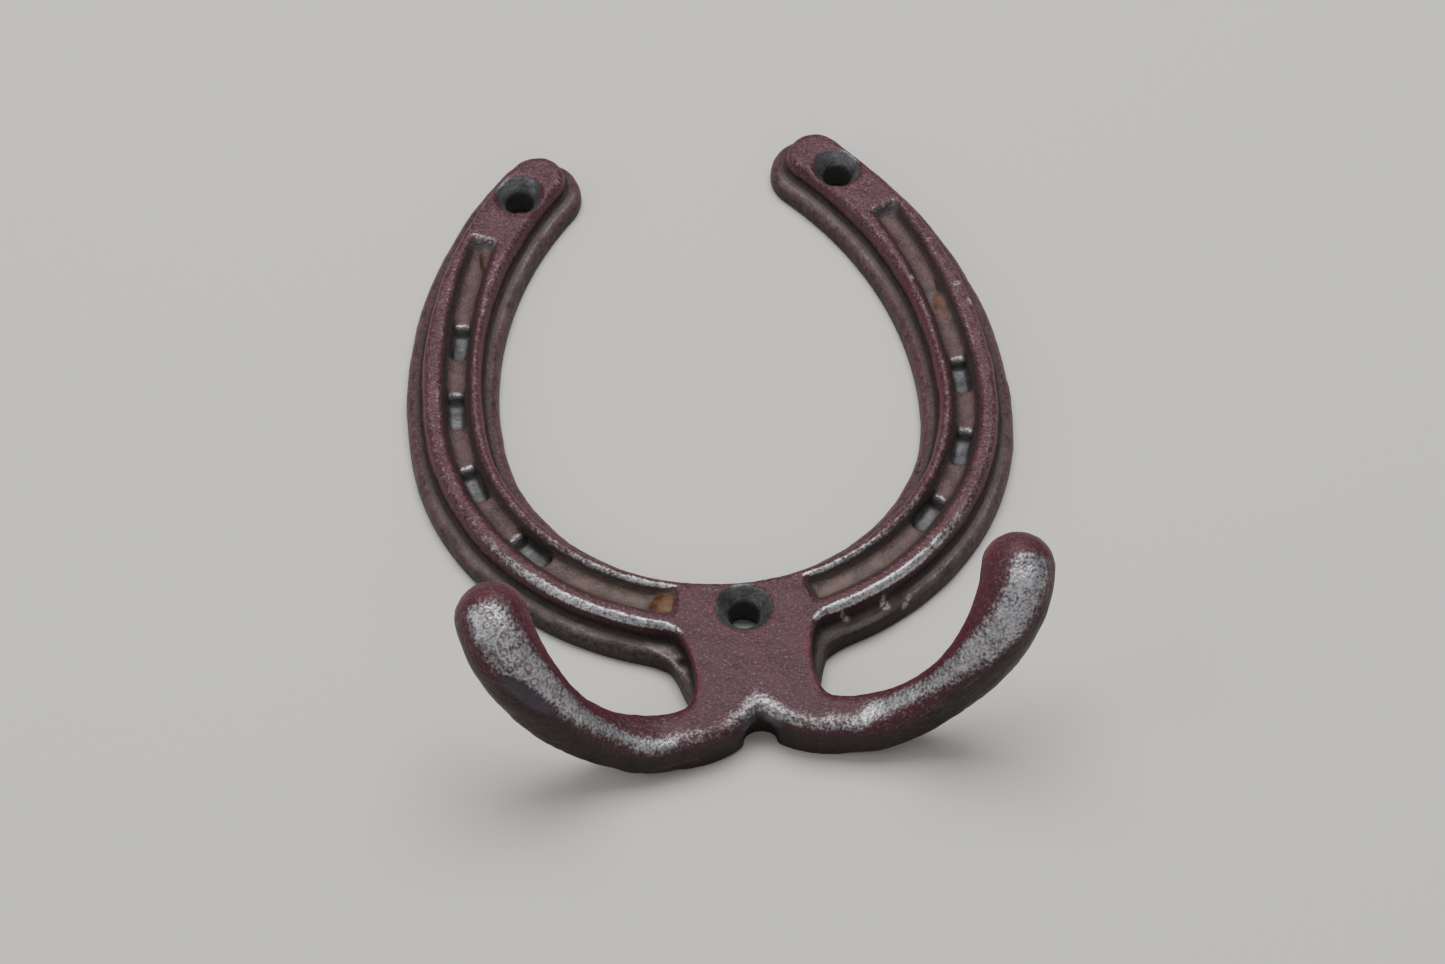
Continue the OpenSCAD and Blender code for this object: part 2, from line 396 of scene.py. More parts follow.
def casting_field(xs, ys, zs):
    X2, Y2 = np.meshgrid(xs, ys, indexing="ij")
    X2, Y2 = X2.astype(np.float32), Y2.astype(np.float32)
    Z = zs[None, None, :].astype(np.float32)
    F = add_band(X2, Y2, zs)
    add_neck(F, X2, Y2, Z)
    F = add_hooks(F, xs, ys, zs, X2, Y2, Z)
    F = cut_hollows(F, X2, Y2, Z)
    return np.maximum(F, -Z)


# ---- from field to mesh

CORNERS = [(a, b, c) for a in (0, 1) for b in (0, 1) for c in (0, 1)]


def soften(F, times):
    """The field averaged with its neighbours, a number of times."""
    for _ in range(times):
        for axis in range(3):
            lo, mid, hi = ([slice(None)] * 3 for _ in range(3))
            lo[axis], mid[axis], hi[axis] = slice(None, -2), slice(1, -1), slice(2, None)
            G = F.copy()
            G[tuple(mid)] = 0.25 * F[tuple(lo)] + 0.5 * F[tuple(mid)] + 0.25 * F[tuple(hi)]
            F = G
    return F


def sample(F, origin, p):
    """The field at any points, from the eight around each."""
    q = (p - origin) / STEP
    i = np.clip(q.astype(np.int32), 0, np.array(F.shape) - 2)
    f = q - i
    out = 0
    for dx, dy, dz in CORNERS:
        w = (np.where(dx, f[:, 0], 1 - f[:, 0]) * np.where(dy, f[:, 1], 1 - f[:, 1])
             * np.where(dz, f[:, 2], 1 - f[:, 2]))
        out = out + w * F[i[:, 0] + dx, i[:, 1] + dy, i[:, 2] + dz]
    return out


def gradient(F, origin, p):
    """The unit direction in which the field grows."""
    g = np.empty_like(p)
    for a in range(3):
        s = np.zeros(3)
        s[a] = STEP * 0.7
        g[:, a] = sample(F, origin, p + s) - sample(F, origin, p - s)
    return g / np.maximum(np.linalg.norm(g, axis=1), 1e-9)[:, None]


def surface(F, origin):
    """Surface nets: one vertex in each cell that the surface crosses, one quad on each crossed edge."""
    inside = F < 0
    count = np.zeros(tuple(s - 1 for s in F.shape), np.int8)
    for dx, dy, dz in CORNERS:
        count += inside[dx:dx + count.shape[0], dy:dy + count.shape[1], dz:dz + count.shape[2]]
    cells = np.argwhere((count > 0) & (count < len(CORNERS)))
    index = np.full(count.shape, -1, np.int32)
    index[tuple(cells.T)] = np.arange(len(cells))
    val = {k: F[cells[:, 0] + k[0], cells[:, 1] + k[1], cells[:, 2] + k[2]] for k in CORNERS}
    total, hits = np.zeros((len(cells), 3)), np.zeros(len(cells))
    for a in CORNERS:
        for axis in range(3):
            if a[axis]:
                continue
            b = tuple(1 if i == axis else a[i] for i in range(3))
            crossed = (val[a] < 0) != (val[b] < 0)
            pos = np.tile(np.array(a, float), (len(cells), 1))
            pos[:, axis] = np.where(crossed, val[a] / np.where(crossed, val[a] - val[b], 1), 0)
            total += np.where(crossed[:, None], pos, 0)
            hits += crossed
    verts = origin + (cells + total / hits[:, None]) * STEP
    quads = []
    for axis in range(3):
        b, c = (axis + 1) % 3, (axis + 2) % 3
        lo, hi = [slice(None)] * 3, [slice(None)] * 3
        lo[axis], hi[axis] = slice(None, -1), slice(1, None)
        s0, s1 = inside[tuple(lo)], inside[tuple(hi)]
        e = np.argwhere(s0 != s1)
        e = e[(e[:, b] > 0) & (e[:, c] > 0) & (e[:, b] < F.shape[b] - 1) & (e[:, c] < F.shape[c] - 1)]
        ring = []
        for db, dc in ((-1, -1), (0, -1), (0, 0), (-1, 0)):
            k = e.copy()
            k[:, b] += db
            k[:, c] += dc
            ring.append(index[tuple(k.T)])
        q = np.stack(ring, 1)
        quads.append(np.where(s0[tuple(e.T)][:, None], q, q[:, ::-1]))
    return verts, np.vstack(quads)


# ---- the skin of the casting

def lump(p):
    """Height of the cast skin's soft waves and small lumps at a point."""
    return (noise.noise(Vector(p) / 4.5) * 0.16 + noise.noise(Vector(p) / 1.5) * 0.07
            + noise.noise(Vector(p) / 0.8 + Vector((9, 4, 1))) * 0.03)


xs, ys, zs = (np.arange(lo, hi, STEP) for lo, hi in zip(FIELD_LO, FIELD_HI))
ORIGIN = np.array([xs[0], ys[0], zs[0]])
field = soften(casting_field(xs, ys, zs), 1)
verts, quads = surface(field, ORIGIN)
for _ in range(2):
    verts -= gradient(field, ORIGIN, verts) * sample(field, ORIGIN, verts)[:, None]
normals = gradient(field, ORIGIN, verts)
solid = np.clip(0.5 - field / STEP, 0, 1)
fine = soften(solid, max(1, round(2 * (0.5 / STEP) ** 2)))
edge = 0.5 - sample(fine, ORIGIN, verts)  # above 0 on outward edges, below 0 in corners
wide = soften(fine, round(2 * (1.1 / STEP) ** 2))
bulge = 0.5 - sample(wide, ORIGIN, verts)  # the same with a wider reach

x, y, z = verts.T
lumps = np.array([lump(p) for p in verts.tolist()])
lumps *= ramp(z, 0.3, 1.2) * ramp(hole_radius(x, y), 5.0, 6.0)  # none on the back or in the screw holes
verts += normals * lumps[:, None]
lo, hi = (np.array(b) / MM for b in cad_bounds)
verts = np.clip(verts, lo + 0.002, hi - 0.002)


# ---- masks: what each point of the skin is made of, from where it lies and how it is turned

x, y, z = verts.T
_, ny, nz = normals.T
X = np.abs(x)
right = ramp(x, -1, 1)
toe_side = ramp(-y, -24, 4)
at_heel = ramp(y, 60, 70)
off = band_offset(x, y)
facing = (band_offset(x, y - 0.1) - band_offset(x, y + 0.1)) / 0.2 * np.sign(off)
front = ramp(facing, 0.0, 0.5)  # sides of the band that look to -Y
v, e = groove_coords(x, y)
groove_in = np.maximum(np.abs(v) - GROOVE_W / 2, e)
pit, _, pit_u = pit_field(x, y)
hole = hole_radius(x, y)
rim = np.where(X < HOOK_X, np.hypot(X - HOOK_X, y - LOBE_Y) - LOBE_R, NECK_END - y)  # 0 on its lower edge
on_hook = np.clip(ramp(X, 12, 18) * ramp(-y, 6.5, 8.5) + ramp(-y, 14, 18), 0, 1)
on_neck = ramp(-y, 5, 7)
flange = ramp(5.9 - z, 0, 0.9) * (1 - on_hook)

# Places on the hooks: along the path and round it in millimetres, and phi, the angle round it in degrees
near = on_hook > 0
phi = np.full(len(x), -90.0)
along, around, parting = np.zeros((3, len(x)))
t, hu, hv, _, ha, hb, _ = hook_coords(X[near], y[near], z[near])
phi[near] = np.degrees(np.arctan2(hv / hb, hu / ha))
along[near] = t * 0.87
around[near] = np.radians(phi[near]) * 5
wavy = hv + 0.9 + 0.4 * np.sin(X[near] * 0.4)
parting[near] = np.exp(-(wavy / 0.35) ** 2) * ramp(hu / ha, 0.6, 0.85)

# Hollows
cavity = ramp(-edge, 0.035, 0.13)
in_groove = ramp(-groove_in, -0.3, 0.1) * ramp(8.0 - z, 0.3, 0.9)
in_pit = ramp(-pit, -0.35, 0.1) * ramp(5.7 - z, 0.1, 0.7)
# At the heels the bare grey fills the countersink only on its far side, which faces -Y, as a painted
# highlight; its flanks keep the paint
sink_r = 5.15 - 0.85 * at_heel * (1 - ramp(y, 99.7, 102.2))
in_sink = ramp(sink_r - hole, 0, 0.25) * ramp(7.95 - z, 0.05, 0.35)
wall = in_groove * ramp(0.88 - nz, 0, 0.2) * (1 - in_pit) * ramp(7.9 - z, 0, 0.6)
# The groove's far end at the heels, facing -Y, is given bare grey and less shade: a painted highlight
heel_end = in_groove * ramp(e, -2.6, -0.8) * at_heel
notch = ramp(4.0 - X, 0, 2) * ramp(-y, 18.5, 20.0) * ramp(z, 4.6, 5.6) * ramp(0.93 - nz, 0, 0.2)

# Paint rubbed through: a band over each hook, lip, ridges, bead on the flange, ends of groove; on the ridges'
# edges that look to -Y also a painted highlight, and at the pits' lit far ends a painted highlight only
stops = [13, 18, 24, 31, 37, 42]
right_middle = np.interp(X, stops, [54, 84, 94, 82, 70, 76])
left_middle = np.interp(X, stops, [54, 64, 73, 75, 85, 82])
middle = np.where(x > 0, right_middle, left_middle)
spread = np.interp(X, stops, [15, 26, 29, 29, 31, 38])
turned = np.where(x > 0, np.interp(X, [13, 18, 27, 33], [0.05, 0.50, 0.40, 0.05]), 0.15)
over_hook = ramp(spread - np.abs(phi - middle), -22, 20) * ramp(turned - ny, 0, 0.55)
over_hook *= ramp(X, 11, 16) * on_hook
lip = ramp(rim, -4.4, -1.5) * ramp(nz, 0.30, 0.66) * ramp(-y, 13.5, 18.5) * ramp(20 - X, 0, 6)
low_front = -0.62 * ny + 0.78 * nz
# A line on the ridges' edges that look to -Y and up: wear, with a painted highlight
line = ramp(low_front, 0.30, 0.85) * ramp(edge, 0.0, 0.06) * ramp(z, 5.8, 7.0) * (1 - on_hook)
line *= ramp(hole, 5.6, 6.6) * (1 - 0.75 * ramp(-y, 3, 5) * ramp(off, 2, 5))
bead = ramp(nz, 0.40, 0.80) * ramp(4.9 - z, 0.2, 0.8) * (1 - in_groove) * (1 - on_hook)
worn_bead = toe_side * ramp(X, 11, 20) * ((x < 0) | (X > 30))
end_lip = ramp(1.0 - np.abs(e + 0.1), 0, 0.6) * ramp(2.9 - np.abs(v), 0, 0.8)
end_lip *= at_heel * ramp(z, 6.4, 7.2)
# The lit far end of each pit: a painted highlight in bare grey
lit = ramp(pit_u, 3.1, 3.6) * ramp(-pit, 0.0, 0.4) * ramp(6.2 - z, 0, 0.4)
wear_and_highlight = np.maximum.reduce([
    over_hook * 0.95,
    lip * np.interp(x, [-7, -2, 3], [0.48, 0.70, 0.64]),
    line * np.clip(0.31 + 0.95 * toe_side * ramp(-ny, 0.0, 0.25), 0, 1),
    bead * (0.08 + 0.22 * worn_bead),
    end_lip * 0.5,
    parting * 0.25,
    lit * np.where((x > 0) & (y > 58), 0.2, 0.68),
])
# A painted highlight on the flange's bead, strongest on sides that look to -Y
bead_highlight = bead * (0.12 + 0.68 * front)

# Marks that only the hooks have: scratches on the right one, a bare patch on the left one, rings at the tips
scratch = ramp(24 - np.abs(phi - 22), -10, 8) * ramp(X, 20, 26) * ramp(38 - X, 0, 4) * on_hook * right
steel = np.zeros(len(x))
steel[near] = ramp(1.25 - np.hypot((t - 61.5) / 8, (phi[near] - 44) / 15), 0, 0.6)
steel *= on_hook * (1 - right)
rings = ramp(X, 33, 37) * on_hook * (1 - 0.75 * right)

# Paint: painted shade, nearly black, on low walls, which also keep less paint; crimson on sides, least on
# those that look to -Y, which is painted light
low = ramp(0.42 - nz, 0, 0.45) * np.maximum(on_hook * 0.75, on_neck)
low = np.clip(low + ramp(0.45 - nz, 0, 0.5) * flange * 0.85, 0, 1)
outside = ramp(off, 4, 6) * toe_side
paint = (1 - flange * (0.35 + 0.6 * outside)) * (1 - 0.55 * low)
paint *= (1 - in_groove) * (1 - in_sink) * (1 - in_pit)
swell = ramp(bulge, 0.02, 0.13) * np.maximum(on_neck, on_hook)
crimson = ramp(0.90 - nz, 0, 0.45) * 0.9 + 0.1 * ramp(edge, 0.01, 0.06) + 0.55 * swell
crimson = np.clip(crimson, 0, 1) * paint
# Crimson stronger on sides that look to +Y and weaker on those, and on the flange, that look to -Y: this
# direction is painted light
crimson *= (0.15 + 0.85 * ramp(ny, -0.5, 0.2)) * (1 - flange * (0.35 + 0.5 * front))

# Painted shade, nearly black: in corners, on the groove's walls, round the foot, at the pits' steep ends,
# down the bores and in the recess under the notch
shade = ramp(off, 4.4, 5.2) * ramp(0.45 - nz, 0, 0.4) * ramp(z, 3.6, 4.6) * ramp(7.2 - z, 0, 0.8) * toe_side
beside_neck = ramp(off, 5.0, 5.6) * ramp(6 - y, 0, 5) * ramp(31 - X, 0, 5) * ramp(7.2 - z, 0, 0.8)
shade = np.maximum(shade, beside_neck * ramp(x, 4, 8))
crease = ramp(np.abs(off), 5.3, 5.9) * ramp(7.1 - np.abs(off), 0, 0.5)
crease *= ramp(5.1 - z, 0, 0.6) * ramp(z, 2.6, 3.2) * np.maximum(ramp(y, -4.5, -3.0), ramp(X, 18, 22))
steep = ramp(pit_u, 1.6, 2.3) * ramp(3.4 - pit_u, 0, 0.4) + ramp(-pit_u, 2.4, 3.8)
bore = ramp(3.0 - hole, 0, 0.3) * ramp(5.9 - z, 0, 0.5)
hollow = ramp(1.25 - oval(x, y, z, RECESS), 0, 0.2) * ramp(0.5 - nz, 0, 0.3)
painted_shade = cavity * (1 - 0.6 * in_groove) + 0.8 * wall * (1 - 0.8 * heel_end)
painted_shade += 0.7 * (shade + 0.7 * crease) * (1 - on_hook) + 0.75 * steep * in_pit * (1 - lit)
painted_shade += 0.8 * bore + hollow

# Resin: each drop's reach as a share of its size, the softness of its edge, and its strength
amber = np.zeros(len(x))
for drop, (reach, soft, strength) in zip(RESIN, ((1.16, 0.14, 1.0), (1.3, 0.5, 1.0), (1.3, 0.6, 0.75))):
    amber = np.maximum(amber, ramp(reach - oval(x, y, z, drop), 0, soft) * strength)
amber *= ramp(-groove_in, -0.4, 0.0)

# Paint chips: x, y, half length, half width, turn in degrees
CHIPS = [
    (16.4, -1.7, 0.5, 0.3, 100), (17.2, -2.2, 0.6, 0.35, 20),
    (23.9, 0.6, 0.8, 0.35, 60), (24.7, 0.1, 0.6, 0.3, 105), (24.2, -0.4, 0.5, 0.3, 10),
    (27.8, 0.5, 0.8, 0.35, 45), (28.6, 1.7, 0.6, 0.35, 60),
    (47.8, 67.6, 0.7, 0.5, 20), (49.4, 63.4, 0.9, 0.35, 100), (39.9, 70.4, 0.7, 0.4, 70),
]
chips = np.zeros(len(x))
for cx, cy, sx, sy, turn in CHIPS:
    c, s = math.cos(math.radians(turn)), math.sin(math.radians(turn))
    r = np.hypot(((x - cx) * c + (y - cy) * s) / sx, (-(x - cx) * s + (y - cy) * c) / sy)
    chips = np.maximum(chips, ramp(1.3 - r, 0, 0.6) * ramp(z, 2.2, 2.9))

# Some of these masks carry painted light: the nearly black one for corners and hollows and the one for low
# walls are painted shade, the one for the flange's bead is a painted highlight, the rubbed one also holds
# painted highlights, and the crimson one is weaker where sides look to -Y
SKIN = {
    "wear_and_highlight": wear_and_highlight, "paint": paint, "crimson": crimson, "low": low, "painted_shade": np.clip(painted_shade, 0, 1),
    "groove": in_groove, "bare": np.maximum.reduce([in_pit, in_sink, 0.8 * notch, 0.6 * heel_end]),
    "bead_highlight": bead_highlight, "toe": toe_side, "amber": amber, "chips": chips, "steel": steel, "rings": rings,
    "scratch": scratch, "along": along, "around": around,
}


# ---- pieces: the casting cut where its members meet

NECK_SEAM_Y = -13.4  # the seam between neck and hook lies below this
SHOULDER_X, SHOULDER_Y = 17, -6.6  # outside and below this corner all iron is a hook's


def seam_cut(bm, point, normal, region):
    """Split the faces of one region along a plane, so that a piece can end there."""
    faces = [f for f in bm.faces if region(f.calc_center_median() / MM)]
    geom = set(faces)
    for f in faces:
        geom.update(f.edges)
        geom.update(f.verts)
    bmesh.ops.bisect_plane(bm, geom=list(geom), plane_co=Vector(point) * MM, plane_no=normal, dist=1e-9)


def owner(p):
    """The node that a point of the casting belongs to."""
    X = abs(p[0])
    s = "right" if p[0] > 0 else "left"
    if X > HOOK_X and p[1] < NECK_SEAM_Y or X > SHOULDER_X and p[1] < SHOULDER_Y:
        return s + "_hook"
    if math.atan2(X, TOE_C - p[1]) > SEAM:
        return s + "_branch"
    return "toe_plate"


def cast_whole():
    """The whole casting as one mesh that carries the masks."""
    mesh = bpy.data.meshes.new("casting")
    mesh.from_pydata((verts * MM).tolist(), [], quads.tolist())
    for name, value in SKIN.items():
        mesh.attributes.new(name, "FLOAT", "POINT").data.foreach_set("value", value.astype(np.float32))
    bm = bmesh.new()
    bm.from_mesh(mesh)
    bpy.data.meshes.remove(mesh)
    bmesh.ops.remove_doubles(bm, verts=bm.verts, dist=0.012 * MM)  # no pinched edges where the skin folds
    return bm


def piece_mesh(whole, label, node):
    """The closed mesh of one node's faces, with flat caps where it was cut."""
    bm = whole.copy()
    bm.faces.ensure_lookup_table()
    bmesh.ops.delete(bm, geom=[f for f in bm.faces if label[f.index] != node], context="FACES")
    border = [e for e in bm.edges if len(e.link_faces) == 1]
    caps = bmesh.ops.holes_fill(bm, edges=border, sides=0)["faces"]
    for e in border:
        e.smooth = False
    for f in bm.faces:
        f.smooth = True
    for f in caps:
        f.smooth = False
    me = bpy.data.meshes.new(node + "_cast")
    bm.to_mesh(me)
    bm.free()
    return me


whole = cast_whole()
for s in (-1, 1):
    branch_side = (s * math.cos(SEAM), math.sin(SEAM), 0)
    seam_cut(whole, (0, TOE_C, 0), branch_side, lambda p: p[1] > SHOULDER_Y and p[0] * s > 5)
    seam_cut(whole, (s * HOOK_X, 0, 0), (1, 0, 0), lambda p: p[1] < NECK_SEAM_Y and p[0] * s > 5)
whole.faces.index_update()
label = [owner(f.calc_center_median() / MM) for f in whole.faces]
pieces = {}
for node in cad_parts:
    ob = bpy.data.objects.new(node + "_cast", piece_mesh(whole, label, node))
    bpy.context.scene.collection.objects.link(ob)
    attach(ob, "root")
    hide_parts(node)
    pieces[node] = ob
whole.free()


# ---- material

class Graph:
    """A material's nodes. Places are in millimetres."""

    def __init__(self, name):
        self.mat = bpy.data.materials.new(name)
        self.mat.use_nodes = True
        self.tree = self.mat.node_tree
        self.bsdf = self.tree.nodes["Principled BSDF"]
        at = self.node("ShaderNodeTexCoord").outputs["Object"]
        scale = self.node("ShaderNodeVectorMath", operation="SCALE")
        self.link(at, scale.inputs[0])
        scale.inputs["Scale"].default_value = 1000
        self.mm = scale.outputs[0]

    def node(self, kind, **props):
        n = self.tree.nodes.new(kind)
        for k, val in props.items():
            setattr(n, k, val)
        return n

    def link(self, a, b):
        if isinstance(a, bpy.types.NodeSocket):
            self.tree.links.new(a, b)
        else:
            b.default_value = a

    def skin(self, name):
        """One of the masks in SKIN."""
        return self.node("ShaderNodeAttribute", attribute_name=name).outputs["Fac"]

    def noise(self, size, detail=3.0, rough=0.55, shift=0.0):
        n = self.node("ShaderNodeTexNoise")
        self.link(self.shifted(shift), n.inputs["Vector"])
        n.inputs["Scale"].default_value = 1 / size
        n.inputs["Detail"].default_value = detail
        n.inputs["Roughness"].default_value = rough
        return n.outputs["Fac"]

    def shifted(self, shift):
        """Places moved along, so that two noises of one size differ."""
        if not shift:
            return self.mm
        n = self.node("ShaderNodeVectorMath", operation="ADD")
        self.link(self.mm, n.inputs[0])
        n.inputs[1].default_value = (shift, shift * 1.7, -shift)
        return n.outputs[0]

    def pits(self, size, shift):
        """Distance from the middle of the nearest of many cells."""
        n = self.node("ShaderNodeTexVoronoi")
        self.link(self.shifted(shift), n.inputs["Vector"])
        n.inputs["Scale"].default_value = 1 / size
        return n.outputs["Distance"]

    def math(self, op, a, b=0.0):
        n = self.node("ShaderNodeMath", operation=op)
        self.link(a, n.inputs[0])
        self.link(b, n.inputs[1])
        return n.outputs[0]

    def times(self, a, b):
        return self.math("MULTIPLY", a, b)

    def plus(self, a, b):
        return self.math("ADD", a, b)

    def rest(self, a):
        """What is left of 1."""
        return self.math("SUBTRACT", 1.0, a)

    def fit(self, a, lo, hi, to_lo=0.0, to_hi=1.0):
        """Move a range onto another, smooth at both ends."""
        n = self.node("ShaderNodeMapRange", interpolation_type="SMOOTHSTEP")
        self.link(a, n.inputs["Value"])
        for k, val in (("From Min", lo), ("From Max", hi), ("To Min", to_lo), ("To Max", to_hi)):
            self.link(val, n.inputs[k])
        return n.outputs["Result"]

    def mix(self, f, a, b):
        """From colour a to colour b."""
        n = self.node("ShaderNodeMix", data_type="RGBA")
        self.link(f, n.inputs["Factor"])
        for s, val in ((n.inputs[6], a), (n.inputs[7], b)):
            self.link((*val, 1) if isinstance(val, tuple) else val, s)
        return n.outputs[2]

    def blend(self, f, a, b):
        """From number a to number b."""
        n = self.node("ShaderNodeMix", data_type="FLOAT")
        for s, val in zip((n.inputs["Factor"], n.inputs[2], n.inputs[3]), (f, a, b)):
            self.link(val, s)
        return n.outputs[0]


def broken(g, mask, grain, soft):
    """A mask broken up by a grain: the grain decides where a half strong mask wins."""
    low = g.rest(g.times(mask, 1 + soft))
    return g.fit(grain, low, g.plus(low, soft))


def sway(g, level, *grains):
    """A level moved up and down by grains, each given with its strength."""
    for grain, strength in grains:
        level = g.plus(level, g.times(g.math("SUBTRACT", grain, 0.5), strength))
    return level


g = Graph("painted_iron")

# Grains from fine to coarse, cells for craters and rings, and fine streaks along the hooks
grain = g.noise(0.34, 2.0, 0.6)
sand = g.noise(0.48, 2.0, 0.5, 43)
speck = g.noise(0.9, 4.0, 0.65, 11)
blotch = g.noise(3.6, 4.0, 0.6, 31)
broad = g.noise(14.0, 2.0, 0.5, 57)
craters = g.pits(1.15, 5)
ring = g.pits(1.9, 23)
combine = g.node("ShaderNodeCombineXYZ")
for i, (name, size) in enumerate((("along", 6.0), ("around", 0.42))):
    g.link(g.math("DIVIDE", g.skin(name), size), combine.inputs[i])
streaks = g.node("ShaderNodeTexNoise")
streaks.inputs["Scale"].default_value = 1.0
g.link(combine.outputs[0], streaks.inputs["Vector"])
brushed = streaks.outputs["Fac"]

# Paint over bare iron: dusty wine red on top, crimson on the sides, and painted shade, nearly black, on low
# walls
bare_iron = g.mix(g.fit(speck, 0.3, 0.75), (0.036, 0.025, 0.025), (0.100, 0.082, 0.082))
wine = g.mix(g.fit(blotch, 0.32, 0.68), (0.036, 0.0080, 0.0115), (0.056, 0.0135, 0.0185))
fine_dust = g.times(g.fit(grain, 0.40, 0.66), 0.55)
dust = g.plus(fine_dust, g.times(g.fit(speck, 0.40, 0.64), 0.45))
dust = g.times(dust, g.fit(broad, 0.3, 0.65, 0.55, 1.0))
# More dust towards the heels: dust, and a painted sheen that makes the far end paler
wine = g.mix(g.times(dust, g.fit(g.skin("toe"), 0.0, 1.0, 0.98, 0.50)), wine, (0.136, 0.064, 0.075))
# Light specks of the sand grain: painted glints on the cast surface
wine = g.mix(g.fit(sand, 0.55, 0.72, 0.0, 0.50), wine, (0.200, 0.122, 0.136))
wine = g.mix(g.fit(sand, 0.30, 0.46, 0.5, 0.0), wine, (0.018, 0.006, 0.008))
crimson = g.mix(g.times(dust, 0.35), (0.080, 0.0045, 0.014), (0.17, 0.08, 0.10))
wine = g.mix(g.times(g.skin("crimson"), g.fit(blotch, 0.3, 0.6, 0.6, 0.95)), wine, crimson)
chance = g.plus(g.times(blotch, 0.6), g.times(speck, 0.4))
cover = broken(g, g.skin("paint"), g.fit(chance, 0.3, 0.7, 0.02, 0.98), 0.6)
color = g.mix(cover, bare_iron, wine)
# Painted shade, nearly black, on the low walls of neck, hooks and flange
low_shade = g.times(g.skin("low"), g.fit(broad, 0.3, 0.7, 0.8, 1.0))
low_shade_color = g.mix(g.fit(blotch, 0.3, 0.7), (0.004, 0.0012, 0.001), (0.020, 0.0055, 0.005))
color = g.mix(low_shade, color, low_shade_color)

# The groove's floor, and the greyer iron of pits and countersinks
floor_color = g.mix(g.fit(blotch, 0.35, 0.65), (0.058, 0.032, 0.033), (0.100, 0.055, 0.056))
pale = g.mix(g.fit(blotch, 0.35, 0.65), (0.085, 0.070, 0.058), (0.155, 0.110, 0.092))
floor_color = g.mix(g.times(g.skin("toe"), 0.9), floor_color, pale)
floor_color = g.mix(g.times(g.fit(grain, 0.4, 0.7), 0.3), floor_color, (0.19, 0.15, 0.14))
color = g.mix(g.skin("groove"), color, floor_color)
grey = g.mix(g.fit(blotch, 0.3, 0.7), (0.075, 0.072, 0.074), (0.18, 0.180, 0.190))
grey = g.mix(g.times(g.fit(grain, 0.4, 0.7), 0.3), grey, (0.05, 0.045, 0.045))
color = g.mix(g.skin("bare"), color, grey)

# Painted highlight on the flange's bead in a light greyish metal, strongest where it looks to -Y, and the
# dark bare patch on the left hook
bead_highlight_color = g.mix(g.fit(blotch, 0.3, 0.7), (0.090, 0.066, 0.065), (0.190, 0.150, 0.148))
bead_highlight_color = g.mix(g.times(g.fit(grain, 0.4, 0.7), 0.3), bead_highlight_color, (0.06, 0.042, 0.040))
color = g.mix(g.skin("bead_highlight"), color, bead_highlight_color)
color = g.mix(g.times(g.skin("steel"), 0.85), color, (0.075, 0.072, 0.088))

# Metal where the paint is rubbed through, and the same metal for painted highlights, pitted and ringed, more
# silvery where it is rubbed most
worn_and_lit = g.times(g.skin("wear_and_highlight"), g.rest(g.times(g.skin("steel"), 0.75)))
wear_and_highlight = sway(g, g.times(worn_and_lit, 1.15), (speck, 0.60), (sand, 0.45), (blotch, 0.9))
wear_and_highlight = g.times(g.fit(wear_and_highlight, 0.10, 1.22), g.fit(worn_and_lit, 0.03, 0.40))
wear_and_highlight = g.times(wear_and_highlight, g.fit(craters, 0.08, 0.34, 0.45, 1.0))
groove_ring = g.math("ABSOLUTE", g.math("SUBTRACT", ring, 0.33))
groove_ring = g.times(g.fit(groove_ring, 0.05, 0.13, 1.0, 0.0), g.skin("rings"))
wear_and_highlight = g.times(wear_and_highlight, g.rest(g.times(groove_ring, 0.6)))
scratched = g.times(g.fit(brushed, 0.50, 0.66), g.times(g.skin("scratch"), 0.45))
wear_and_highlight = g.math("MAXIMUM", wear_and_highlight, scratched)
shine = sway(g, g.times(worn_and_lit, 0.68), (sand, 1.7), (speck, 0.9), (blotch, 0.7))
silver = g.mix(g.fit(shine, 0.0, 1.0), (0.085, 0.076, 0.080), (0.54, 0.53, 0.55))
color = g.mix(wear_and_highlight, color, silver)

# Painted shade, resin and chips lie on top
painted_shade = g.times(g.skin("painted_shade"), g.fit(blotch, 0.3, 0.65, 0.62, 0.95))
color = g.mix(painted_shade, color, (0.014, 0.0125, 0.0085))
resin = g.mix(g.fit(g.noise(1.8, 2, 0.5, 71), 0.35, 0.65), (0.060, 0.024, 0.009), (0.120, 0.055, 0.021))
color = g.mix(g.skin("amber"), color, resin)
chip = g.times(g.skin("chips"), g.fit(grain, 0.35, 0.5))
color = g.mix(g.times(chip, 0.8), color, (0.33, 0.26, 0.25))
g.link(color, g.bsdf.inputs["Base Color"])

# How metallic
metal = g.blend(cover, 0.75, g.times(dust, 0.35))
metal = g.blend(low_shade, metal, 0.0)
metal = g.blend(g.skin("steel"), metal, 0.8)
metal = g.blend(g.skin("groove"), metal, 0.15)
metal = g.blend(g.skin("bare"), metal, 0.75)
metal = g.blend(g.skin("bead_highlight"), metal, 0.6)
metal = g.blend(wear_and_highlight, metal, 0.95)
matt = g.math("MAXIMUM", painted_shade, g.math("MAXIMUM", g.skin("amber"), chip))
metal = g.times(metal, g.rest(matt))
g.link(metal, g.bsdf.inputs["Metallic"])

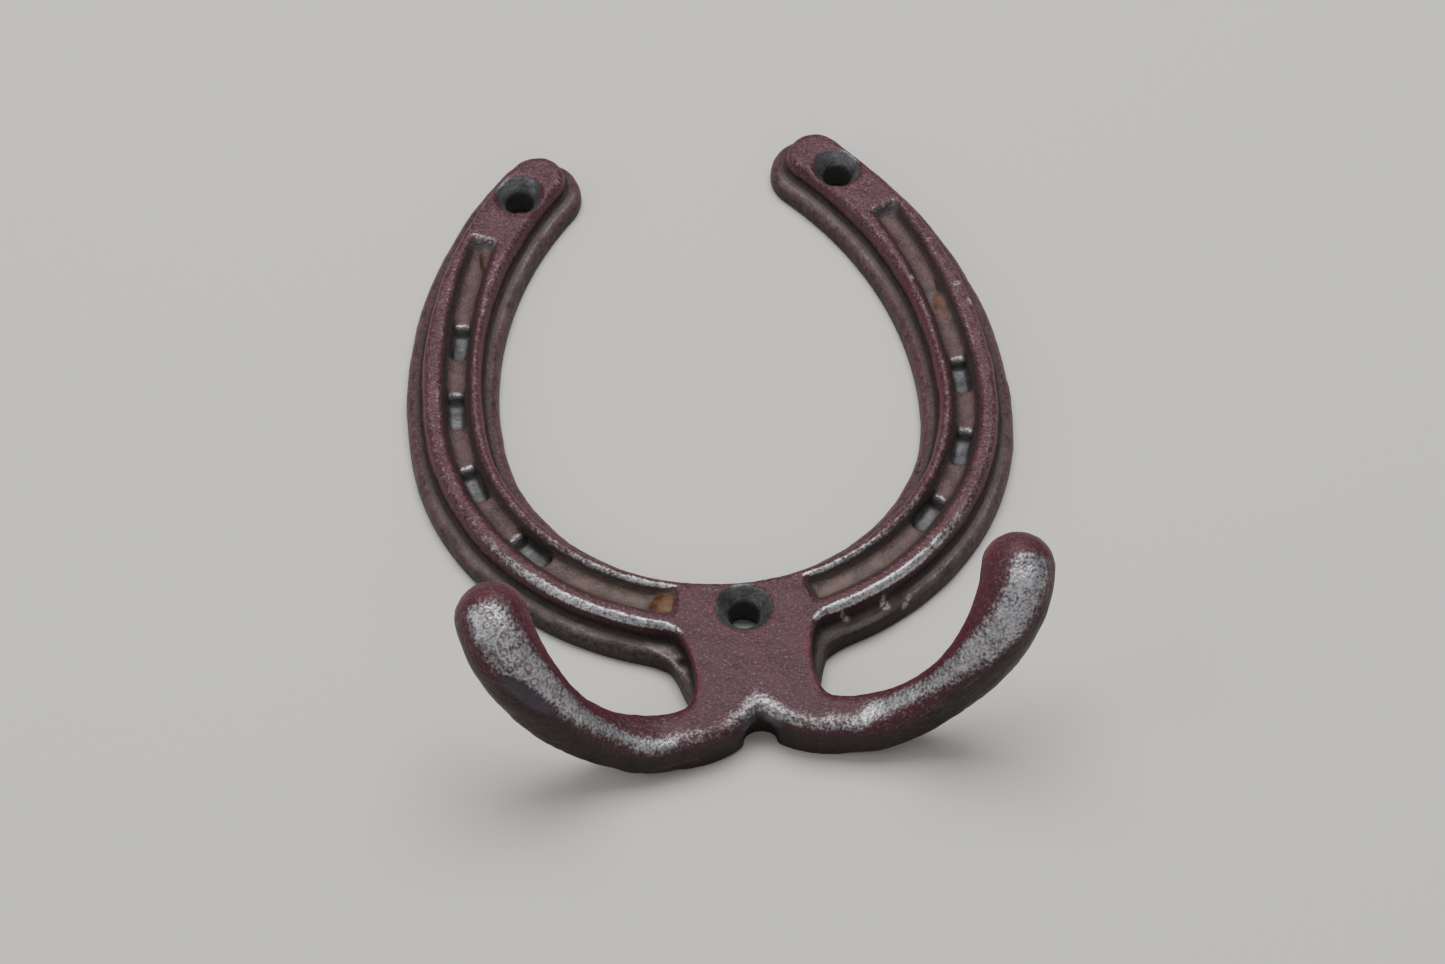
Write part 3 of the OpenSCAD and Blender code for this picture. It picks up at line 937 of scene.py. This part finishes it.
# How rough
rough = g.blend(cover, g.fit(speck, 0.3, 0.7, 0.38, 0.55), g.fit(dust, 0.0, 1.0, 0.42, 0.55))
rough = g.blend(low_shade, rough, 0.5)
rough = g.blend(g.skin("groove"), rough, 0.6)
rough = g.blend(wear_and_highlight, rough, g.fit(grain, 0.3, 0.7, 0.33, 0.46))
rough = g.blend(painted_shade, rough, 0.7)
rough = g.blend(g.skin("amber"), rough, 0.48)
g.link(rough, g.bsdf.inputs["Roughness"])
g.bsdf.inputs["Specular IOR Level"].default_value = 0.28

# Fine relief, in millimetres
height = g.plus(g.times(sand, 0.16), g.times(speck, 0.15))
height = g.plus(height, g.times(g.noise(2.2, 3, 0.5, 17), 0.12))
crater_relief = g.times(g.fit(craters, 0.0, 0.35), g.times(g.skin("wear_and_highlight"), 0.07))
height = g.plus(height, crater_relief)
height = g.math("SUBTRACT", height, g.times(groove_ring, 0.05))
height = g.plus(height, g.times(g.times(brushed, g.skin("scratch")), 0.10))
height = g.times(height, g.rest(g.times(g.skin("amber"), 0.8)))
bump = g.node("ShaderNodeBump")
bump.inputs["Strength"].default_value = 0.75
bump.inputs["Distance"].default_value = 0.001
g.link(height, bump.inputs["Height"])
g.link(bump.outputs[0], g.bsdf.inputs["Normal"])
for ob in pieces.values():
    ob.data.materials.append(g.mat)


# ---- floor, light and camera

LENS = 76.58  # millimetres, on a sensor 36 wide
CAMERA_AT = (-0.04194, -0.29846, 0.43037)
YAW, PITCH, ROLL = math.radians(7.27), math.radians(52.18), math.radians(0.465)


def plain(name, color, rough):
    """An even, unpatterned material."""
    m = bpy.data.materials.new(name)
    m.use_nodes = True
    b = m.node_tree.nodes["Principled BSDF"]
    b.inputs["Base Color"].default_value = (*color, 1)
    b.inputs["Roughness"].default_value = rough
    return m


bm = bmesh.new()
bmesh.ops.create_circle(bm, cap_ends=True, radius=2.5, segments=96)
floor_mesh = bpy.data.meshes.new("floor")
bm.to_mesh(floor_mesh)
bm.free()
floor = bpy.data.objects.new("floor", floor_mesh)
floor.location = (0, 0, -0.00005)
bpy.context.scene.collection.objects.link(floor)
floor_mesh.materials.append(plain("pale_floor", (0.62, 0.60, 0.57), 0.75))


def area(name, at, aim, size, power):
    """A white rectangular light that looks at a point."""
    light = bpy.data.lights.new(name, "AREA")
    light.shape = "RECTANGLE"
    light.size, light.size_y = size
    light.energy = power
    o = bpy.data.objects.new(name, light)
    o.location = at
    o.rotation_euler = (Vector(aim) - Vector(at)).to_track_quat("-Z", "Y").to_euler()
    bpy.context.scene.collection.objects.link(o)


area("overhead", (0.05, 0.35, 0.9), (0, 0.04, 0), (0.9, 0.6), 10.5)
area("left_fill", (-0.8, -0.1, 0.6), (0, 0.04, 0), (0.6, 0.5), 1.8)
area("front_fill", (0.15, -0.95, 0.85), (0, 0.03, 0), (0.8, 0.5), 1.5)
world = bpy.data.worlds.new("soft")
world.use_nodes = True
world.node_tree.nodes["Background"].inputs["Color"].default_value = (0.8, 0.82, 0.85, 1)
world.node_tree.nodes["Background"].inputs["Strength"].default_value = 0.36
bpy.context.scene.world = world

ahead = Vector((math.sin(YAW), math.cos(YAW), 0))
sideways = Vector((math.cos(YAW), -math.sin(YAW), 0))
look = ahead * math.cos(PITCH) - Vector((0, 0, math.sin(PITCH)))
up = ahead * math.sin(PITCH) + Vector((0, 0, math.cos(PITCH)))
cam_x = sideways * math.cos(ROLL) + up * math.sin(ROLL)
cam_y = up * math.cos(ROLL) - sideways * math.sin(ROLL)
cam = bpy.data.objects.new("camera", bpy.data.cameras.new("camera"))
cam.data.sensor_width = 36.0
cam.data.lens = LENS
cam.data.clip_start = 0.01
cam.matrix_world = Matrix.Translation(CAMERA_AT) @ Matrix((cam_x, cam_y, -look)).transposed().to_4x4()
bpy.context.scene.collection.objects.link(cam)
bpy.context.scene.camera = cam
